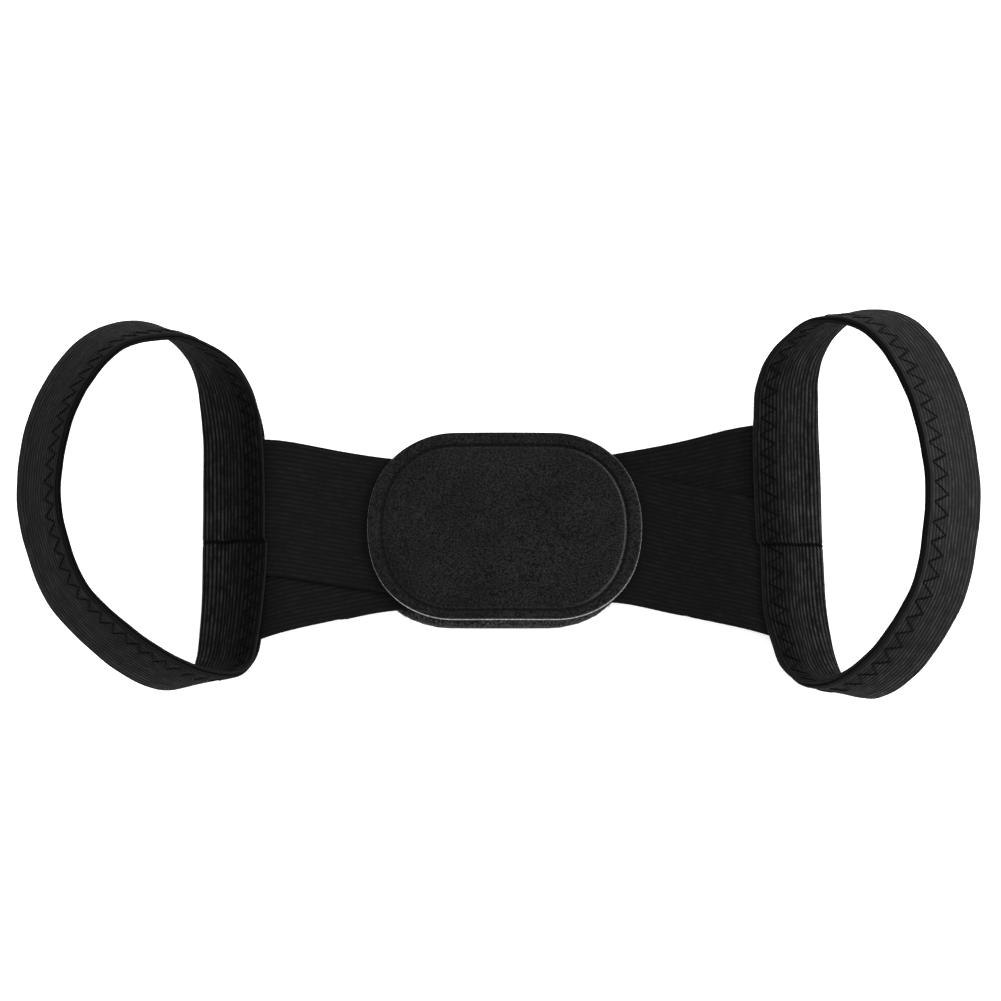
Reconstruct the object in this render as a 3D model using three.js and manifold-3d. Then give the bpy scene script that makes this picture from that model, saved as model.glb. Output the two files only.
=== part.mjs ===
// Posture corrector: two elastic bands that cross in an X under an oval pad, and an arm loop on each side.
// Everything is cut from one elastic webbing. The crossing bands use its full width, and each arm loop is the
// same webbing folded in half lengthwise, so that its two open edges grip the ends of the bands.
// Millimetres, +Z up. The part lies on its back pad, and its origin is under the middle of its bounding box.
// The x axis runs from the left loop to the right one, and the y axis towards the wearer's neck.
import * as THREE from "three";
import Module from "manifold-3d";
import { mergeVertices } from "three/addons/utils/BufferGeometryUtils.js";

// Webbing
const webbingWidth = 60;
const webbingThickness = 1.2;
const clearance = 0.35; // air kept between two pieces
const twistClearance = 0.22; // more of it round a band's end, where the gap between a loop's lips is twisted
const sideClearance = 0.2; // and beside the bands, where they pass through the back pad
const foldAllowance = 3; // webbing width that the fold of an arm loop uses up
const loopWidth = (webbingWidth - foldAllowance) / 2;

// Oval pads: straight top and bottom edges with elliptical ends
const padLength = 117;
const padHeight = 83.5;
const padStraight = 43; // length of the straight top and bottom edges
const padOverhang = 0.5; // how far the back pad's edge stands out past the front pad's
const backPadShiftX = -1.2; // the back pad is sewn on a little low and to the left
const backPadShiftY = -0.9;
const backPadFloor = 4; // back pad left under the bands
const edgeRound = 1.6; // rounding of the back pad's soft edges
const rimThickness = 2.2;
const rimWidth = 6;
const rimEdgeRound = 0.6; // rounding of the front pad's edge
const stitchGroove = 0.5; // depth and half width of the groove where the panel meets the rim
const crownHeight = 2.6; // raised panel above the rim
const crownSlope = 7; // width of the panel's steep shoulder
const crownRows = [ // across and up are shares of crownSlope and crownHeight, from the groove inwards
  { across: 0.13, up: 0.12 },
  { across: 0.35, up: 0.48 },
  { across: 0.7, up: 0.76 },
  { across: 1.3, up: 0.93 },
  { across: 2.6, up: 1 },
];

// Crossing bands. Each one's middle is given at the loops' lips and at the pad's edges, as a height above the
// pad's middle.
const lipReach = { left: 101, right: 109.5 }; // from the pad's middle out to each loop's lips
const bandTuck = 7.2; // length of band held between a loop's lips
const padBend = 0.12; // share of the way to the lips in which a band bends up from the pad
const lipBend = 4; // how late a band bends over towards the lips: higher is later
const upperBandMiddle = { leftLip: 7.2, leftPad: 0.1, rightPad: -5.7, rightLip: -16.5 };
const lowerBandMiddle = { leftLip: -20.1, leftPad: -7.7, rightPad: 1.7, rightLip: 14.8 };

// Arm loops. In the tables a row is a section of the loop, from the middle of the side that holds the bands,
// up towards the neck, out and back. out, along and rise are shares of reach, half the length and height.
// lean is how steeply the section climbs from its fold to its lips, and swing turns it towards the neck.
// seamStep is how far the webbing is sewn on away from the pad where its two ends are joined.
const slotDepth = 9.8; // gap between a loop's lips where it holds the bands
const slotReach = 2; // length for which it stays open past the bands
const slotFade = 12; // length over which it then closes
const slotShoulder = 1.2; // thickened part past the bottom of the gap
const slotTaper = 6; // slope from there to the loop's usual thickness
const closedSlotDepth = 1.2;
const seamFade = 34; // length over which the step at a loop's seam dies away
const loops = {
  right: {
    side: 1, length: 155, reach: 57.5, height: 78, middle: -0.7, seamStep: 1.3,
    rows: [
      { out: 0.0, along: -0.08, rise: 0.0, lean: 18, swing: -3 },
      { out: 0.0, along: 0.32, rise: 0.0, lean: 16, swing: -3 },
      { out: 0.0, along: 0.65, rise: 0.04, lean: 18, swing: -6 },
      { out: 0.03, along: 0.89, rise: 0.19, lean: 27, swing: -13 },
      { out: 0.18, along: 1.0, rise: 0.43, lean: 31, swing: -17 },
      { out: 0.4, along: 0.99, rise: 0.69, lean: 30, swing: -19 },
      { out: 0.65, along: 0.81, rise: 0.89, lean: 28, swing: -17 },
      { out: 0.85, along: 0.51, rise: 0.98, lean: 28, swing: -14 },
      { out: 0.97, along: 0.13, rise: 1.0, lean: 32, swing: -9 },
      { out: 1.0, along: -0.27, rise: 0.94, lean: 34, swing: -5 },
      { out: 0.9, along: -0.64, rise: 0.8, lean: 36, swing: -2 },
      { out: 0.67, along: -0.9, rise: 0.58, lean: 36, swing: 2 },
      { out: 0.4, along: -1.0, rise: 0.33, lean: 35, swing: 2 },
      { out: 0.16, along: -0.88, rise: 0.09, lean: 30, swing: -2 },
      { out: 0.04, along: -0.58, rise: 0.0, lean: 21, swing: -3 },
    ],
  },
  left: {
    side: -1, length: 144.5, reach: 72, height: 76, middle: -1.2, seamStep: -1.3,
    rows: [
      { out: 0.0, along: -0.1, rise: 0.0, lean: 18, swing: -2 },
      { out: 0.01, along: 0.3, rise: 0.0, lean: 18, swing: -2 },
      { out: 0.03, along: 0.66, rise: 0.06, lean: 23, swing: -5 },
      { out: 0.12, along: 0.92, rise: 0.27, lean: 36, swing: -18 },
      { out: 0.32, along: 1.0, rise: 0.53, lean: 38, swing: -27 },
      { out: 0.53, along: 0.94, rise: 0.75, lean: 36, swing: -26 },
      { out: 0.74, along: 0.76, rise: 0.91, lean: 39, swing: -17 },
      { out: 0.92, along: 0.42, rise: 1.0, lean: 41, swing: -11 },
      { out: 1.0, along: 0.04, rise: 1.0, lean: 44, swing: -7 },
      { out: 0.98, along: -0.34, rise: 0.92, lean: 48, swing: -6 },
      { out: 0.82, along: -0.68, rise: 0.77, lean: 48, swing: -3 },
      { out: 0.56, along: -0.88, rise: 0.55, lean: 45, swing: 3 },
      { out: 0.28, along: -0.99, rise: 0.3, lean: 41, swing: 4 },
      { out: 0.06, along: -0.86, rise: 0.07, lean: 30, swing: -4 },
      { out: 0.0, along: -0.54, rise: 0.0, lean: 20, swing: -4 },
    ],
  },
};

// How finely the curves are cut
const sectionsPerLoop = 90;
const foldSteps = 4;
const ovalQuarterSteps = 9;
const bandColumnsPerSide = 16;
const bandRows = 12;

// Heights that follow from the stack of back pad, two bands and front pad
const bandSpacing = webbingThickness + clearance;
const stackThickness = 2 * webbingThickness + clearance;
const bandLevel = backPadFloor + clearance + stackThickness / 2; // middle of the two crossed bands
const frontPadBottom = bandLevel + stackThickness / 2 + clearance;
const backPadTop = frontPadBottom - clearance;
const openSlot = stackThickness + 2 * (clearance + twistClearance);
const padHalfLength = padLength / 2;
const foldRadius = webbingThickness + clearance / 2;

const smooth = (t) => t * t * (3 - 2 * t);
const between = (value, low, high) => THREE.MathUtils.clamp((value - low) / (high - low), 0, 1);

// Turns closed outlines, each with as many points, into a solid. A ring of outlines closes on itself, and a
// stack is closed at each end by a strip that joins the first half of an even number of points to the second.
function skin(outlines, { ring = false } = {}) {
  const count = outlines[0].length;
  const faces = [];
  const links = ring ? outlines.length : outlines.length - 1;
  for (let k = 0; k < links; k++) {
    const here = k * count;
    const next = ((k + 1) % outlines.length) * count;
    for (let i = 0; i < count; i++) {
      const j = (i + 1) % count;
      faces.push([here + i, here + j, next + j], [here + i, next + j, next + i]);
    }
  }
  if (!ring) {
    const last = (outlines.length - 1) * count;
    for (let i = 0; i < count / 2 - 1; i++) {
      const [a, b, c, d] = [i, i + 1, count - 2 - i, count - 1 - i];
      faces.push([b, a, d], [b, d, c], [last + a, last + b, last + c], [last + a, last + c, last + d]);
    }
  }
  return facesOut(outlines.flat(), faces);
}

// Builds the geometry, with its faces turned outwards whichever way the outlines ran.
function facesOut(points, faces) {
  let volume = 0;
  for (const [a, b, c] of faces) {
    volume += points[a].dot(new THREE.Vector3().crossVectors(points[b], points[c]));
  }
  const index = volume < 0 ? faces.flatMap(([a, b, c]) => [a, c, b]) : faces.flat();
  const geometry = new THREE.BufferGeometry();
  geometry.setAttribute("position", new THREE.Float32BufferAttribute(points.flatMap((p) => p.toArray()), 3));
  geometry.setIndex(index);
  return geometry;
}

// An arm loop as a curve with a direction across the webbing at each place. Both loops are worked out on the
// right, and the left one is mirrored when its solid is made.
function loopPath(loop, lip) {
  const innerReach = lip + (loopWidth / 2) * Math.cos(THREE.MathUtils.degToRad(loop.rows[0].lean));
  const places = loop.rows.map((row) => new THREE.Vector3(
    innerReach + row.out * loop.reach,
    loop.middle + (row.along * loop.length) / 2,
    row.rise * loop.height,
  ));
  const turns = loop.rows.map((row) => new THREE.Vector3(row.lean, row.swing, 0));
  const line = new THREE.CatmullRomCurve3(places, true);
  const turning = new THREE.CatmullRomCurve3(turns, true);

  function frameAt(share) {
    const centre = line.getPoint(share);
    const near = 0.001;
    const forward = line.getPoint(share + near).sub(line.getPoint(share - near)).normalize();
    const turn = turning.getPoint(share);
    const lean = THREE.MathUtils.degToRad(turn.x);
    const swing = THREE.MathUtils.degToRad(turn.y);
    const across = new THREE.Vector3(
      -Math.cos(lean) * Math.cos(swing), Math.sin(swing), Math.sin(lean) * Math.cos(swing),
    );
    across.addScaledVector(forward, -across.dot(forward)).normalize();
    const outward = new THREE.Vector3().crossVectors(across, forward).normalize();
    const facesPad = forward.y > 0; // the side that holds the bands runs towards the neck
    const belowSeam = places[0].y - centre.y;
    const stepped = facesPad && belowSeam > 0;
    const step = stepped ? loop.seamStep * (1 - smooth(between(belowSeam, 0, seamFade))) : 0;
    return { centre, across, outward, facesPad, step };
  }

  // The loop is let down until its fold rests on the surface.
  let lowest = Infinity;
  for (let k = 0; k < sectionsPerLoop; k++) {
    const { centre, across, step } = frameAt(k / sectionsPerLoop);
    lowest = Math.min(lowest, centre.z - (loopWidth / 2 - foldRadius + step) * across.z - foldRadius);
  }
  for (const place of places) place.z -= lowest;

  // The frame where the side that holds the bands crosses a line of constant y.
  function heldFrame(y) {
    let low = -2 / places.length;
    let high = 3 / places.length;
    for (let i = 0; i < 40; i++) {
      const middle = (low + high) / 2;
      if (line.getPoint(middle).y < y) low = middle;
      else high = middle;
    }
    return frameAt(low);
  }
  return { frameAt, heldFrame };
}

const paths = {
  right: loopPath(loops.right, lipReach.right),
  left: loopPath(loops.left, lipReach.left),
};

// A crossing band in plan. Its middle line runs straight between four places, and turns at the pad's edges.
function bandPlan(middle) {
  const places = [
    new THREE.Vector2(-lipReach.left, middle.leftLip),
    new THREE.Vector2(-padHalfLength, middle.leftPad),
    new THREE.Vector2(padHalfLength, middle.rightPad),
    new THREE.Vector2(lipReach.right, middle.rightLip),
  ];
  const run = new THREE.Vector2().subVectors(places[3], places[0]);
  const height = webbingWidth * Math.hypot(1, run.y / run.x); // the webbing's width, measured along y
  const edge = (x, across) => {
    const next = x < -padHalfLength ? 1 : x < padHalfLength ? 2 : 3;
    const [a, b] = [places[next - 1], places[next]];
    return a.y + ((x - a.x) / (b.x - a.x)) * (b.y - a.y) + across * height;
  };
  return { edge };
}

const plans = { upper: bandPlan(upperBandMiddle), lower: bandPlan(lowerBandMiddle) };

// The y range in which a loop holds the bands' ends.
function heldRange(name) {
  const x = loops[name].side * lipReach[name];
  const edges = Object.values(plans).flatMap((plan) => [plan.edge(x, -0.5), plan.edge(x, 0.5)]);
  return { low: Math.min(...edges), high: Math.max(...edges) };
}

// The straight line across a loop's held side that passes over a place in plan, and its height there.
function heldLine(name, reach, y) {
  let line = { y };
  for (let i = 0; i < 4; i++) {
    const frame = paths[name].heldFrame(line.y);
    const run = (reach - frame.centre.x) / frame.across.x;
    line = { y: y - run * frame.across.y, z: frame.centre.z + run * frame.across.z, ...frame };
  }
  const lip = line.centre.x + (loopWidth / 2) * line.across.x;
  return { z: line.z, lip, fall: -line.across.z / line.across.x };
}

// How far out the pads' outline reaches at height y.
function padReach(y) {
  const share = Math.min(Math.abs(y) / (padHeight / 2), 1);
  return padStraight / 2 + (padHalfLength - padStraight / 2) * Math.sqrt(1 - share ** 2);
}

// Height of the surface midway between the two bands. It is pulled straight from the pad's edge to the lips
// of the loop, bends over close to them, and runs down between them at the loop's own lean.
function bandSurface(x, y) {
  const reach = Math.abs(x);
  const start = padReach(y);
  if (reach <= start) return bandLevel;
  const name = x < 0 ? "left" : "right";
  const held = heldLine(name, reach, y);
  if (reach >= held.lip) return held.z;
  const lipHeight = held.z - (held.lip - reach) * held.fall;
  const run = held.lip - start;
  const t = (reach - start) / run;
  const climb = lipHeight - bandLevel;
  const risen = (t ** 2 * (1 + padBend)) / (t + padBend);
  const risingAtLip = climb * (2 - 1 / (1 + padBend));
  return bandLevel + climb * risen + (t ** lipBend - t ** (lipBend + 1)) * (risingAtLip + run * held.fall);
}

function surfaceNormal(x, y) {
  const step = 0.2;
  const slopeX = (bandSurface(x + step, y) - bandSurface(x - step, y)) / (2 * step);
  const slopeY = (bandSurface(x, y + step) - bandSurface(x, y - step)) / (2 * step);
  return new THREE.Vector3(-slopeX, -slopeY, 1).normalize();
}

// The x at which one lengthwise line of a band meets the lips of a loop.
function lipCrossing(plan, name, across) {
  let reach = lipReach[name];
  for (let i = 0; i < 4; i++) {
    reach = heldLine(name, reach, plan.edge(loops[name].side * reach, across)).lip;
  }
  return reach;
}

// The x at which it leaves the pads' outline.
function padCrossing(plan, name, across) {
  let reach = padHalfLength;
  for (let i = 0; i < 8; i++) reach = padReach(plan.edge(loops[name].side * reach, across));
  return reach;
}

// A crossing band, as a stack of flat outlines along its length. lift is its height above the surface.
function crossingBand(plan, lift) {
  const rows = Array.from({ length: bandRows + 1 }, (_, j) => j / bandRows - 0.5);
  const line = rows.map((across) => {
    const ends = { left: lipCrossing(plan, "left", across), right: lipCrossing(plan, "right", across) };
    const starts = { left: padCrossing(plan, "left", across), right: padCrossing(plan, "right", across) };
    const column = (name) => {
      const { side } = loops[name];
      const places = [];
      for (let i = 1; i <= bandColumnsPerSide; i++) {
        places.push(side * THREE.MathUtils.lerp(starts[name], ends[name], i / bandColumnsPerSide));
      }
      places.push(side * (ends[name] + bandTuck));
      return places;
    };
    const xs = [...column("left").reverse(), -starts.left, 0, starts.right, ...column("right")];
    return xs.map((x) => {
      const y = plan.edge(x, across);
      return { place: new THREE.Vector3(x, y, bandSurface(x, y)), normal: surfaceNormal(x, y) };
    });
  });
  const offset = (spot, amount) => spot.place.clone().addScaledVector(spot.normal, amount);
  const outlines = line[0].map((_, column) => [
    ...line.map((row) => offset(row[column], lift - webbingThickness / 2)),
    ...line.toReversed().map((row) => offset(row[column], lift + webbingThickness / 2)),
  ]);
  return skin(outlines);
}

// The section of a loop, from its fold round to its lips, as [across, outward] pairs. open is 1 where the
// bands enter between the lips and 0 where the two layers lie together.
function foldedSection(open) {
  const lips = loopWidth / 2;
  const gap = THREE.MathUtils.lerp(clearance, openSlot, open) / 2;
  const bottom = lips - THREE.MathUtils.lerp(closedSlotDepth, slotDepth, open);
  const lipHalf = gap + webbingThickness;
  const shoulder = lips - slotDepth - slotShoulder;
  const taper = shoulder - slotTaper;
  const fold = Array.from({ length: foldSteps + 1 }, (_, i) => {
    const angle = Math.PI * (0.5 + i / foldSteps);
    return [foldRadius - lips + foldRadius * Math.cos(angle), foldRadius * Math.sin(angle)];
  });
  const inside = [[lips, -gap], [bottom, -gap], [bottom, gap], [lips, gap]];
  return [
    ...fold, [taper, -foldRadius], [shoulder, -lipHalf], [lips, -lipHalf],
    ...inside, [lips, lipHalf], [shoulder, lipHalf], [taper, foldRadius],
  ];
}

function armLoop(name) {
  const { side } = loops[name];
  const held = heldRange(name);
  const outlines = Array.from({ length: sectionsPerLoop }, (_, k) => {
    const { centre, across, outward, facesPad, step } = paths[name].frameAt(k / sectionsPerLoop);
    const past = Math.max(held.low - centre.y, centre.y - held.high, 0);
    const open = facesPad ? 1 - smooth(between(past, slotReach, slotReach + slotFade)) : 0;
    return foldedSection(open).map(([a, n]) => {
      const point = centre.clone().addScaledVector(across, a - step).addScaledVector(outward, n);
      point.x *= side;
      return point;
    });
  });
  return skin(outlines, { ring: true });
}

// The pads' oval outline, drawn in from the edge by inset, at height z.
function oval(inset, z, grow = 0) {
  const half = padStraight / 2;
  const radiusX = padHalfLength - half + grow - inset;
  const radiusY = padHeight / 2 + grow - inset;
  const steps = ovalQuarterSteps;
  const quarters = [
    { turn: 0, end: half, from: 0, to: steps },
    { turn: 1, end: -half, from: 0, to: steps },
    { turn: 2, end: -half, from: 1, to: steps },
    { turn: 3, end: half, from: 0, to: steps - 1 },
  ];
  return quarters.flatMap(({ turn, end, from, to }) => Array.from({ length: to - from + 1 }, (_, i) => {
    const angle = ((turn + (from + i) / steps) * Math.PI) / 2;
    return new THREE.Vector3(end + radiusX * Math.cos(angle), radiusY * Math.sin(angle), z);
  }));
}

function frontPad() {
  const top = frontPadBottom + rimThickness;
  return skin([
    oval(rimEdgeRound, frontPadBottom),
    oval(0, frontPadBottom + rimEdgeRound),
    oval(0, top - rimEdgeRound),
    oval(rimEdgeRound, top),
    oval(rimWidth - stitchGroove, top),
    oval(rimWidth, top - stitchGroove),
    ...crownRows.map(({ across, up }) => oval(rimWidth + across * crownSlope, top + up * crownHeight)),
  ]);
}

// The back pad is soft, and closes round the bands, so it is cut to let them through.
async function backPad() {
  const soft = edgeRound * 0.3; // the rounded edge passes this far inside its corner
  const body = skin([
    oval(edgeRound, 0, padOverhang),
    oval(soft, soft, padOverhang),
    oval(0, edgeRound, padOverhang),
    oval(0, backPadTop - edgeRound, padOverhang),
    oval(soft, backPadTop - soft, padOverhang),
    oval(edgeRound, backPadTop, padOverhang),
  ]);
  body.translate(backPadShiftX, backPadShiftY, 0);

  const reach = padHalfLength + padOverhang - backPadShiftX + clearance;
  const columns = [-reach, -padHalfLength, 0, padHalfLength, reach];
  const margin = clearance + sideClearance;
  const highest = (x) => Math.max(plans.upper.edge(x, 0.5), plans.lower.edge(x, 0.5)) + margin;
  const lowest = (x) => Math.min(plans.upper.edge(x, -0.5), plans.lower.edge(x, -0.5)) - margin;
  const outline = [
    ...columns.map((x) => new THREE.Vector2(x, lowest(x))),
    ...columns.toReversed().map((x) => new THREE.Vector2(x, highest(x))),
  ];
  const channel = new THREE.ExtrudeGeometry(new THREE.Shape(outline), {
    depth: backPadTop, bevelEnabled: false, steps: 1,
  }).translate(0, 0, backPadFloor);
  return cut(body, channel);
}

async function cut(body, tool) {
  const wasm = await Module();
  wasm.setup();
  const solid = (geometry) => {
    const plain = geometry.clone();
    plain.deleteAttribute("normal");
    plain.deleteAttribute("uv");
    const merged = mergeVertices(plain, 1e-4);
    return new wasm.Manifold(new wasm.Mesh({
      numProp: 3,
      vertProperties: new Float32Array(merged.attributes.position.array),
      triVerts: new Uint32Array(merged.index.array),
    }));
  };
  const mesh = solid(body).subtract(solid(tool)).getMesh();
  const geometry = new THREE.BufferGeometry();
  geometry.setAttribute("position", new THREE.BufferAttribute(mesh.vertProperties, 3));
  geometry.setIndex(new THREE.BufferAttribute(mesh.triVerts, 1));
  return geometry;
}

const webbing = () => new THREE.MeshStandardMaterial({ color: 0x1d1d1e, roughness: 0.85, metalness: 0 });
const padCover = () => new THREE.MeshStandardMaterial({ color: 0x242425, roughness: 0.7, metalness: 0 });
const padBacking = () => new THREE.MeshStandardMaterial({ color: 0x2c2c2d, roughness: 0.95, metalness: 0 });

const corrector = new THREE.Group();

function add(name, geometry, material) {
  geometry.computeVertexNormals();
  const mesh = new THREE.Mesh(geometry, material);
  mesh.name = name;
  corrector.add(mesh);
}

add("pad_front", frontPad(), padCover());
add("pad_back", await backPad(), padBacking());
add("back_band_upper", crossingBand(plans.upper, bandSpacing / 2), webbing());
add("back_band_lower", crossingBand(plans.lower, -bandSpacing / 2), webbing());
add("arm_loop_left", armLoop("left"), webbing());
add("arm_loop_right", armLoop("right"), webbing());

// The origin goes under the middle of the bounding box.
const bounds = new THREE.Box3().setFromObject(corrector);
const middle = bounds.getCenter(new THREE.Vector3());
corrector.position.set(-middle.x, -middle.y, -bounds.min.z);

export default corrector;
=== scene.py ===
# %% [markdown]
# # A posture corrector of black elastic, dressed for a picture
# The real thing is worn on the back: two wide elastic bands cross under an oval pad, and each side ends in an
# arm loop of the same elastic, folded in half. The CAD part gives every piece its place and size. This lesson
# models each piece again with the finish that cloth has: ribs, selvages, seams, thread and a little fluff.

# %% Load the frame that the CAD part gives
import math

import bmesh
import bpy
import numpy as np
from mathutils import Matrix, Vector, noise
from mathutils.bvhtree import BVHTree


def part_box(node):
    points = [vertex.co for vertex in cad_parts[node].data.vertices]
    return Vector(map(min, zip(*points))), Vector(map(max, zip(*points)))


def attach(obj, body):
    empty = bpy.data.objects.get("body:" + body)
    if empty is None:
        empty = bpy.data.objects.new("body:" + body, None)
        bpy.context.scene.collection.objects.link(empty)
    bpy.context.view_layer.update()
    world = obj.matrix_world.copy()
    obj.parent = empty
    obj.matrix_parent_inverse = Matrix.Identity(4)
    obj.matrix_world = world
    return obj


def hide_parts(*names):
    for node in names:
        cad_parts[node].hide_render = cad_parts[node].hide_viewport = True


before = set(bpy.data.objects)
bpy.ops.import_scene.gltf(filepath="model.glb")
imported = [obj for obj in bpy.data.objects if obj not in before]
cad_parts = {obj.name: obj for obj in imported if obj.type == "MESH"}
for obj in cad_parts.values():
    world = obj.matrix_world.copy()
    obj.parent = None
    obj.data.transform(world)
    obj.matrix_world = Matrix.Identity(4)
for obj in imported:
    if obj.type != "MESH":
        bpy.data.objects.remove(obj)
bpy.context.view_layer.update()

MM = 0.001
print("CAD nodes:", sorted(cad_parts))

# %% [markdown]
# ## Camera
# The picture looks down on the table at a steep angle, a little from the wearer's waist, from far enough away
# that the standing loops hardly grow. A long lens from 1.3 m gives that. The camera could also be fitted by
# hand, but worked out from the size of one pixel on the table it stays true to the part's millimetres.

# %% Set up the camera
PICTURE_SIDE = 1001
PIXEL = 0.43 * MM
CAMERA_AWAY = 1.3
CAMERA_ANGLE = math.radians(70)
SENSOR_MM = 36
LOOK_AT = Vector((1.3, 12.75, 0)) * MM

bpy.ops.object.camera_add(
    location=LOOK_AT + CAMERA_AWAY * Vector((0, -math.cos(CAMERA_ANGLE), math.sin(CAMERA_ANGLE))),
    rotation=(math.pi / 2 - CAMERA_ANGLE, 0, 0),
)
camera = bpy.context.object
camera.data.sensor_width = SENSOR_MM
camera.data.lens = CAMERA_AWAY / PIXEL / PICTURE_SIDE * SENSOR_MM
bpy.context.scene.camera = camera
print(f"camera {CAMERA_AWAY} m away, lens {camera.data.lens:.1f} mm")

# %% [markdown]
# ## Small helpers for modelling
# Operators act on whatever is selected, so each step starts from a clean selection. Faces and edges are
# picked by where they are, which keeps working when a size changes, unlike picking them by number.

# %% Helpers for selecting and shaping
def start():
    """Leaves edit mode and selects nothing, so the next operator can't touch another piece."""
    if bpy.context.mode != "OBJECT":
        bpy.ops.object.mode_set(mode="OBJECT")
    bpy.ops.object.select_all(action="DESELECT")


def pick(piece, test, kind="verts"):
    """Selects, in edit mode, the vertices, edges or faces that pass the test."""
    parts = bmesh.from_edit_mesh(piece.data)
    modes = {"verts": (True, False, False), "edges": (False, True, False), "faces": (False, False, True)}
    bpy.context.tool_settings.mesh_select_mode = modes[kind]
    bpy.ops.mesh.select_all(action="DESELECT")
    for item in getattr(parts, kind):
        item.select_set(bool(test(item)))
    parts.select_flush_mode()
    bmesh.update_edit_mesh(piece.data)


def places(piece):
    """The piece's vertices as rows of x, y and z."""
    found = np.empty(len(piece.data.vertices) * 3)
    piece.data.vertices.foreach_get("co", found)
    return found.reshape(-1, 3)


def move_to(piece, rows):
    """Puts the piece's vertices at these rows of x, y and z."""
    piece.data.vertices.foreach_set("co", np.asarray(rows, float).ravel())
    piece.data.update()


def apply_all(piece):
    """Applies every modifier, so the mesh holds the finished shape."""
    start()
    bpy.context.view_layer.objects.active = piece
    piece.select_set(True)
    for modifier in list(piece.modifiers):
        bpy.ops.object.modifier_apply(modifier=modifier.name)


def smooth_faces(piece, degrees=180):
    """Shades the piece smooth, except over edges sharper than this."""
    start()
    bpy.context.view_layer.objects.active = piece
    piece.select_set(True)
    bpy.ops.object.shade_smooth_by_angle(angle=math.radians(degrees))


def hand_over(piece, name, slot, *nodes):
    """Names a finished piece, lets it ride on the part and stands it in for its CAD nodes."""
    piece.name = piece.data.name = name
    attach(piece, "root")
    if nodes:
        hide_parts(*nodes)
    piece.data.calc_loop_triangles()
    print(f"{name}: {len(piece.data.loop_triangles)} triangles")


# %% [markdown]
# ## The arm loops' path
# Each loop is webbing folded in half lengthwise and sewn into a ring. It stands on its fold and leans, so a
# list of places along the ring isn't enough: each section also needs to know which way the webbing's width
# points. The rows below are within a few millimetres of the CAD part's own. Each gives a place as shares of
# the loop's reach, half length and height, and the lean and swing in degrees. Both loops are worked out on
# the right, and the left is mirrored.

# %% Sizes of the webbing and the loops, in millimetres
WEBBING_THICK = 1.2
AIR = 0.35
FOLDED_WIDTH = 28.5
FOLD_RADIUS = WEBBING_THICK + AIR / 2
LIP_REACH = {"left": 101, "right": 109.5}
SLOT_DEPTH = 9.8
SLOT_REACH = 2
SLOT_FADE = 12
SLOT_SHOULDER = 1.2
SLOT_TAPER = 6
OPEN_SLOT = 2 * WEBBING_THICK + AIR + 1.14
SEAM_FADE = 34
SECTIONS = 1800

LOOPS = {
    "right": {"side": 1, "length": 155, "reach": 57.5, "height": 78, "middle": -0.7, "seam_step": 1.3},
    "left": {"side": -1, "length": 144.5, "reach": 72, "height": 76, "middle": -1.2, "seam_step": -1.3},
}
LOOP_ROWS = {  # out, along, rise, lean, swing
    "right": [
        (0.0, -0.103, 0.0, 18, -3), (0.0, 0.32, 0.0, 16, -3), (0.0, 0.65, 0.04, 18, -6),
        (0.03, 0.89, 0.19, 27, -13), (0.18, 1.012, 0.43, 31, -17), (0.41, 0.975, 0.69, 30, -19),
        (0.67, 0.8, 0.89, 28, -17), (0.87, 0.51, 0.98, 28, -14), (0.98, 0.13, 1.0, 32, -9),
        (1.0, -0.27, 0.94, 34, -5), (0.9, -0.64, 0.8, 36, -2), (0.67, -0.9, 0.58, 36, 2),
        (0.39, -1.01, 0.33, 35, 2), (0.15, -0.905, 0.09, 30, -2), (0.03, -0.59, 0.0, 21, -3),
    ],
    "left": [
        (0.0, -0.08, 0.0, 18, -2), (0.01, 0.3, 0.0, 18, -2), (0.03, 0.66, 0.06, 23, -5),
        (0.12, 0.92, 0.27, 36, -18), (0.32, 1.014, 0.53, 38, -27), (0.53, 0.94, 0.75, 36, -26),
        (0.74, 0.75, 0.91, 39, -17), (0.92, 0.42, 1.0, 41, -11), (1.0, 0.04, 1.0, 44, -7),
        (0.98, -0.34, 0.92, 48, -6), (0.84, -0.68, 0.77, 48, -3), (0.57, -0.9, 0.55, 45, 3),
        (0.27, -1.006, 0.3, 41, 4), (0.05, -0.9, 0.07, 30, -4), (0.0, -0.57, 0.0, 20, -4),
    ],
}


def unit(rows):
    return rows / np.linalg.norm(rows, axis=-1, keepdims=True)


def ease(share):
    share = np.clip(share, 0, 1)
    return share * share * (3 - 2 * share)


# %% [markdown]
# A curve through a few places is smoothest when it leaves each place in a direction that its neighbours
# agree on. The closed curve here does that, with its pace set by the gaps between the places so that it
# doesn't overshoot where they lie close together.

# %% A smooth closed curve and the loop's frames
def closed_curve(rows, shares):
    """Points on a smooth closed curve through the rows, at shares of its run."""
    count = len(rows)
    at = np.mod(shares, 1) * count
    whole = np.floor(at).astype(int)
    t = (at - whole)[:, None]
    before, here, there, after = (rows[(whole + step) % count] for step in (-1, 0, 1, 2))
    pace = [np.sqrt(np.linalg.norm(b - a, axis=1))[:, None] for a, b in
            ((before, here), (here, there), (there, after))]
    middle = np.where(pace[1] < 1e-4, 1, pace[1])
    first, last = (np.where(p < 1e-4, middle, p) for p in (pace[0], pace[2]))
    leave = ((here - before) / first - (there - before) / (first + middle) + (there - here) / middle) * middle
    arrive = ((there - here) / middle - (after - here) / (middle + last) + (after - there) / last) * middle
    return (here + leave * t + (3 * (there - here) - 2 * leave - arrive) * t**2
            + (2 * (here - there) + leave + arrive) * t**3)


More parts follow.
